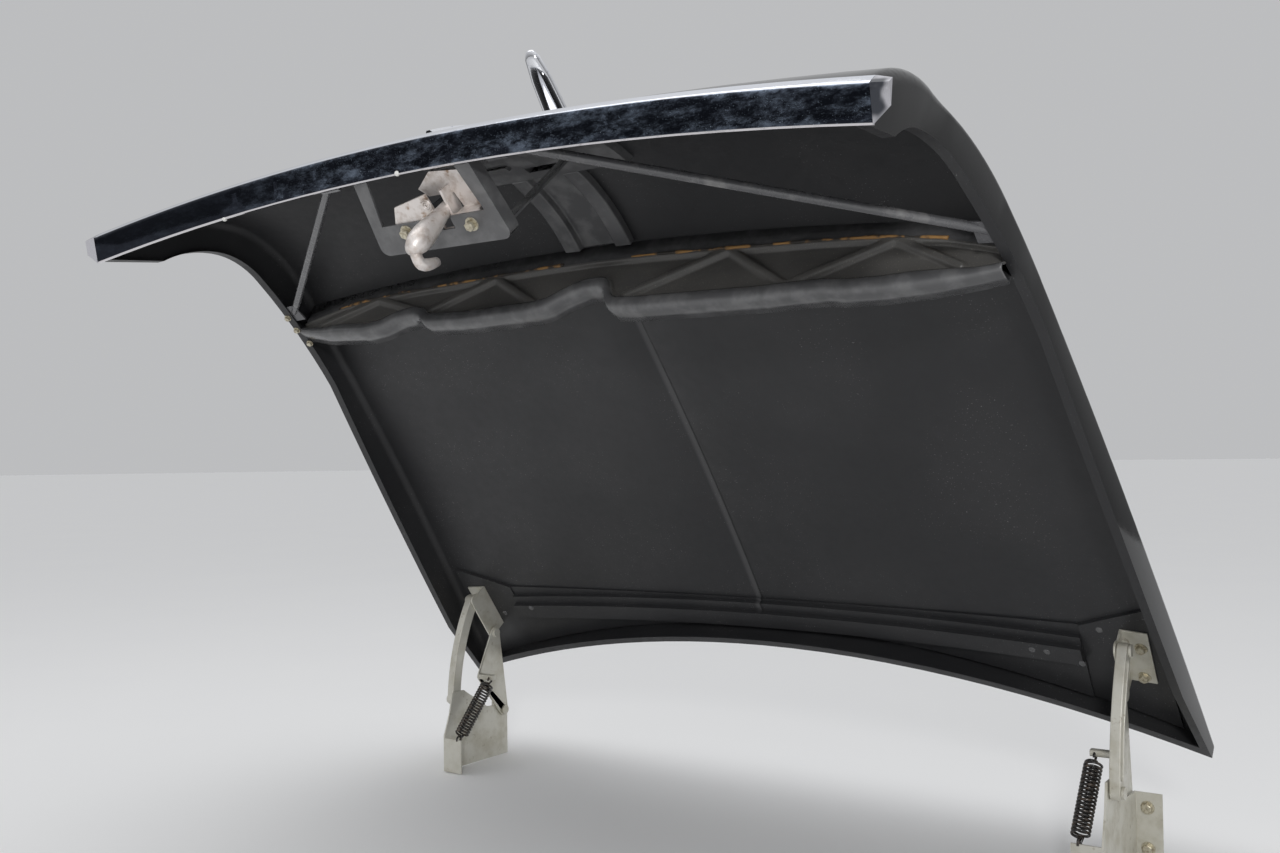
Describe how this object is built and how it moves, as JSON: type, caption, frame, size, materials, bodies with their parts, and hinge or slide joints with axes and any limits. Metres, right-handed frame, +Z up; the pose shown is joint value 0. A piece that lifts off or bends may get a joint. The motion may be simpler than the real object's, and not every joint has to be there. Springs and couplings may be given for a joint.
{
  "type": "raised car bonnet on sprung hinges",
  "caption": "Full-width car bonnet with chrome lip, braces and latch, held open on sprung four-link hinges that fold it shut.",
  "frame": {"origin": "centre of the four bolts that fasten the two hinge bases, on the rear faces of their flanges", "axes": "+X towards the car's left side, +Y towards the rear of the car, +Z up"},
  "size_m": [1.44, 0.9587, 1.1684],
  "materials": {
    "panel_paint": "glossy black paint outside, satin dark grey paint inside",
    "chrome_trim": "bright chrome plate",
    "hinge_steel": "pale zinc plated pressed steel",
    "spring_steel": "dark oil blacked spring wire",
    "brace_paint": "satin dark grey paint, lightly dusty",
    "zinc_steel": "bare zinc plated steel",
    "rod_steel": "dark grey paint on round rod"
  },
  "bodies": {
    "hinge_bases": {"hinge_base_left": "hinge_steel", "hinge_base_right": "hinge_steel", "spring_left": "spring_steel", "spring_right": "spring_steel"},
    "front_links": {"front_link_left": "hinge_steel", "front_link_right": "hinge_steel"},
    "rear_links": {"rear_link_left": "hinge_steel", "rear_link_right": "hinge_steel"},
    "bonnet": {"bonnet_bracket_left": "hinge_steel", "bonnet_bracket_right": "hinge_steel", "bonnet_skin": "panel_paint", "brace_rod_left": "rod_steel", "brace_rod_right": "rod_steel", "centre_channel": "brace_paint", "front_cross_brace": "brace_paint", "latch_plate": "zinc_steel", "latch_support": "brace_paint", "lip_cap_left": "chrome_trim", "lip_cap_right": "chrome_trim", "lip_moulding": "chrome_trim", "nose_panel": "brace_paint", "ornament_shoe": "chrome_trim", "ornament_spear": "chrome_trim", "rear_cross_brace": "brace_paint", "safety_catch": "zinc_steel"}
  },
  "joints": [
    {"name": "bonnet_lowering", "type": "hinge", "parent": "hinge_bases", "child": "front_links", "pos_m": [0, -0.144, 0.084], "axis": [-1, 0, 0], "range_deg": [0, 69.8], "deforming": ["spring_left", "spring_right"]},
    {"name": "bracket_front_pivot", "type": "hinge", "parent": "front_links", "child": "bonnet", "pos_m": [0, -0.089, 0.273], "axis": [1, 0, 0], "range_deg": [0, 122.1]},
    {"name": "rear_link_pivot", "type": "hinge", "parent": "hinge_bases", "child": "rear_links", "pos_m": [0, -0.0146, 0.0427], "axis": [-1, 0, 0], "range_deg": [0, 80.2]}
  ],
  "couplings": [
    {"joint": "bracket_front_pivot", "follows": "bonnet_lowering", "ratio": 1.7421},
    {"joint": "rear_link_pivot", "follows": "bonnet_lowering", "ratio": 1.1418}
  ]
}
